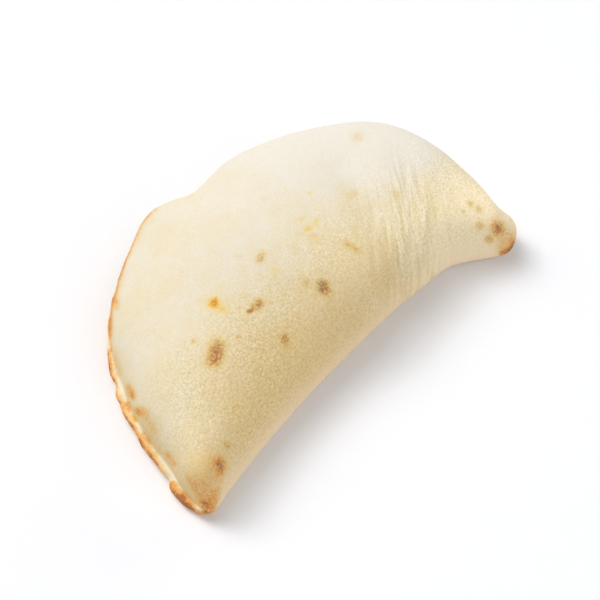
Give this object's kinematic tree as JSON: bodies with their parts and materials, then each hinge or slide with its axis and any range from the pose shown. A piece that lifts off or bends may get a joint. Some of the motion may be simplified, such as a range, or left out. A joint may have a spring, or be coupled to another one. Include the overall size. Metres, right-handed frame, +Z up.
{
  "type": "calzone (closed folded pizza)",
  "caption": "Closed folded pizza: a half-moon of pale baked dough with a high rounded dome, a smooth folded front edge, a thin sealed lip round the arc and toasted tips.",
  "frame": {"origin": "on the flat underside, below the middle of the body's plan", "axes": "+X from the left tip to the right tip, +Y from the folded edge to the sealed rim, +Z up"},
  "size_m": [0.225, 0.1438, 0.0548],
  "materials": {
    "baked_dough": "dry matt baked dough, pale cream with a fine floury grain, orange-brown at the lip and tips, scattered small toasted spots"
  },
  "bodies": {
    "root": {"calzone": "baked_dough"}
  },
  "joints": []
}
